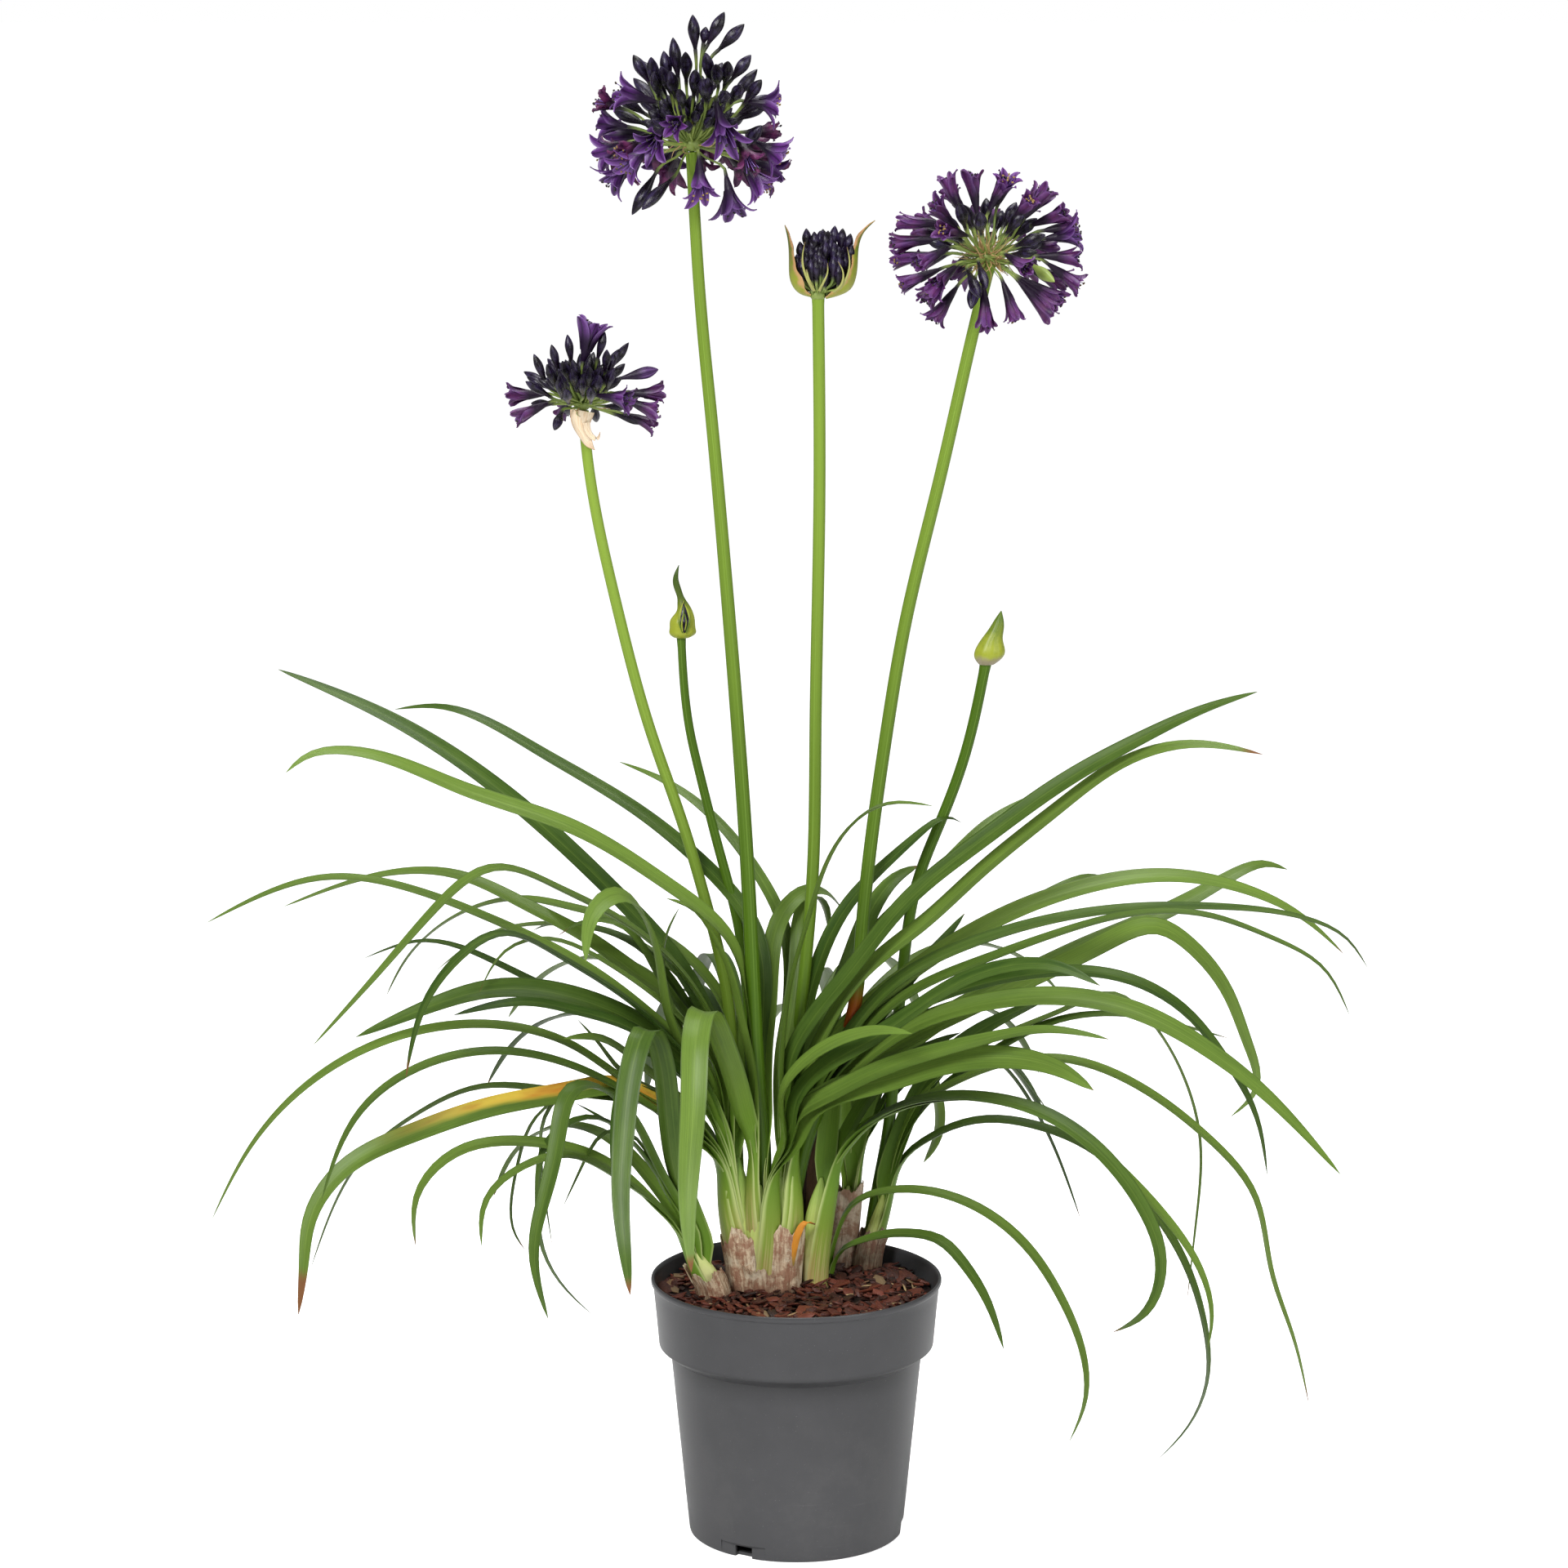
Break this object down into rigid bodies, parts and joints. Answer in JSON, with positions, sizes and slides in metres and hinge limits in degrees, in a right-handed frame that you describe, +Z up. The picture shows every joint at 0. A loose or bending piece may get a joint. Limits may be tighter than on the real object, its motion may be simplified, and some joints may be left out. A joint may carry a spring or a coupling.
{
  "type": "potted agapanthus plant",
  "caption": "Flowering agapanthus with arching strap leaves and dark violet flower heads on tall bare stalks, growing in bark compost in a plain round nursery pot",
  "frame": {"origin": "the middle of the pot's underside, on the surface that the pot stands on", "axes": "+Z up along the plant, +X to the viewer's right when the front is seen, +Y to the back"},
  "size_m": [0.901, 0.544, 1.197],
  "materials": {
    "pot_plastic": "satin",
    "bark": "matte",
    "foliage": "satin",
    "flower_stalk": "satin",
    "petals": "satin",
    "flower_buds": "satin",
    "bud_spathe": "satin",
    "papery_sheath": "matte",
    "withered_leaf": "matte"
  },
  "bodies": {
    "root": {"pot": "pot_plastic", "soil": "bark", "shoot_centre": "foliage", "shoot_left": "foliage", "shoot_middle": "foliage", "shoot_back": "foliage", "shoot_right": "foliage", "seedling": "foliage", "sheath_centre": "papery_sheath", "sheath_left": "papery_sheath", "sheath_back": "papery_sheath", "sheath_right": "papery_sheath", "withered_leaf": "withered_leaf", "stalk_tall": "flower_stalk", "stalk_middle": "flower_stalk", "stalk_right": "flower_stalk", "stalk_left": "flower_stalk", "stalk_left_bud": "flower_stalk", "stalk_right_bud": "flower_stalk", "head_tall": "petals", "head_right": "petals", "head_left": "petals", "head_middle": "flower_buds", "bud_left": "bud_spathe", "bud_right": "bud_spathe", "spathe_left": "papery_sheath", "valve_left": "bud_spathe", "valve_right": "bud_spathe"}
  },
  "joints": []
}
